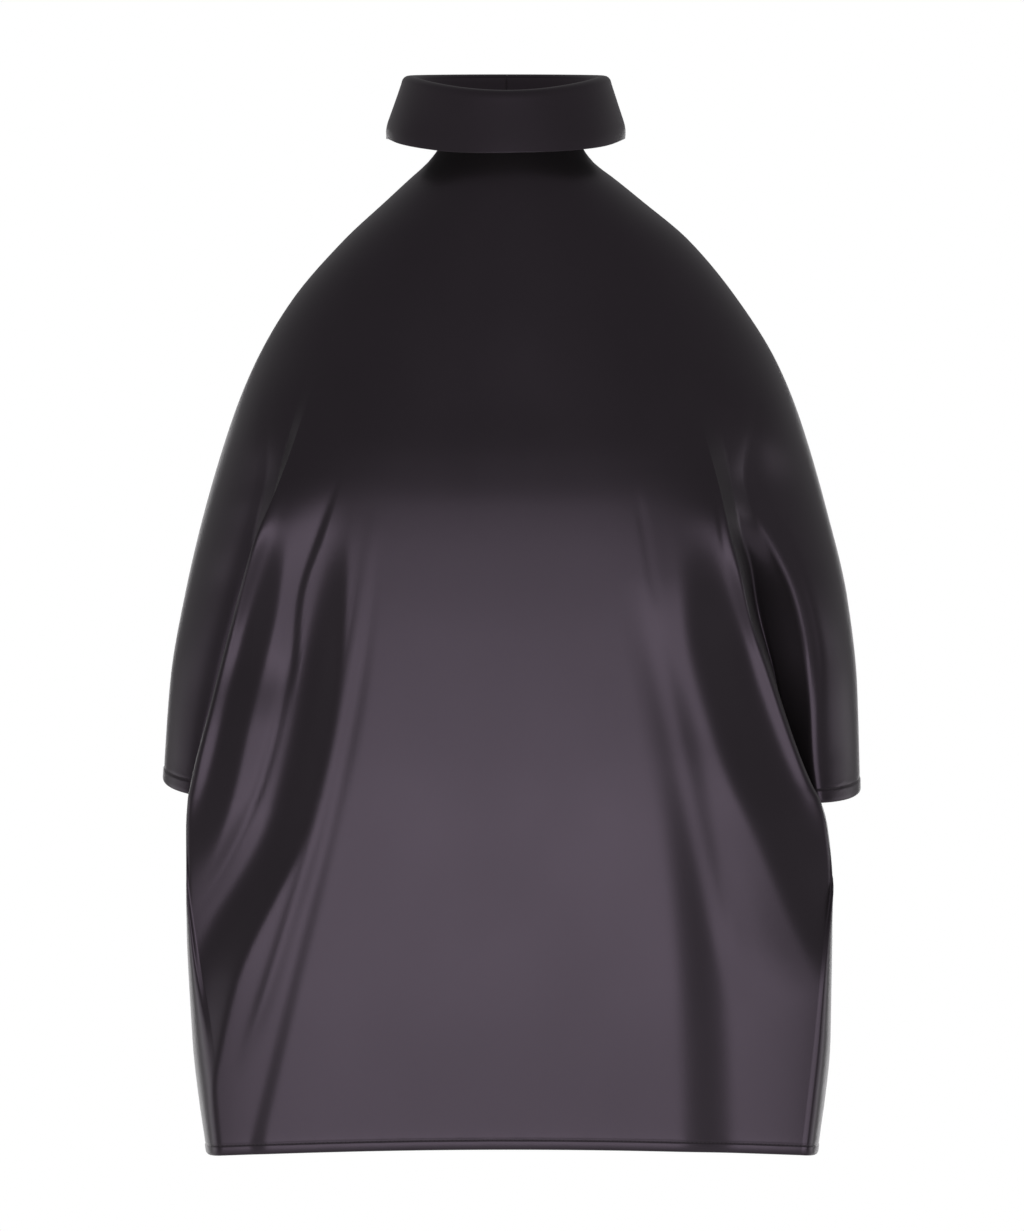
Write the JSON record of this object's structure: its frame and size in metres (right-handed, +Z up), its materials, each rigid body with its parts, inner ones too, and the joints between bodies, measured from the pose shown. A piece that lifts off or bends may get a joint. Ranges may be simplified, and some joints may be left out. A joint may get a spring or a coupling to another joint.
{
  "type": "halter neck top",
  "caption": "Worn sleeveless satin top with a turned-down collar closed round the neck, cloth falling over the shoulders to low arm openings, and a straight hem.",
  "frame": {"origin": "middle of the neck at the foot of the collar, where the wearer's neck holds the top up", "axes": "+Z up, -Y to the front of the garment, +X to the right as seen from the front"},
  "size_m": [0.46, 0.2459, 0.7108],
  "materials": {
    "satin": "heavy silk satin, dark aubergine",
    "satin_collar": "doubled silk satin, dark aubergine",
    "satin_trim": "silk satin over buttons and cord"
  },
  "bodies": {
    "root": {"front_panel": "satin", "back_left": "satin", "back_right": "satin", "collar_band": "satin_collar", "collar_button_upper": "satin_trim", "collar_button_lower": "satin_trim", "collar_loop_upper": "satin_trim", "collar_loop_lower": "satin_trim"}
  },
  "joints": []
}
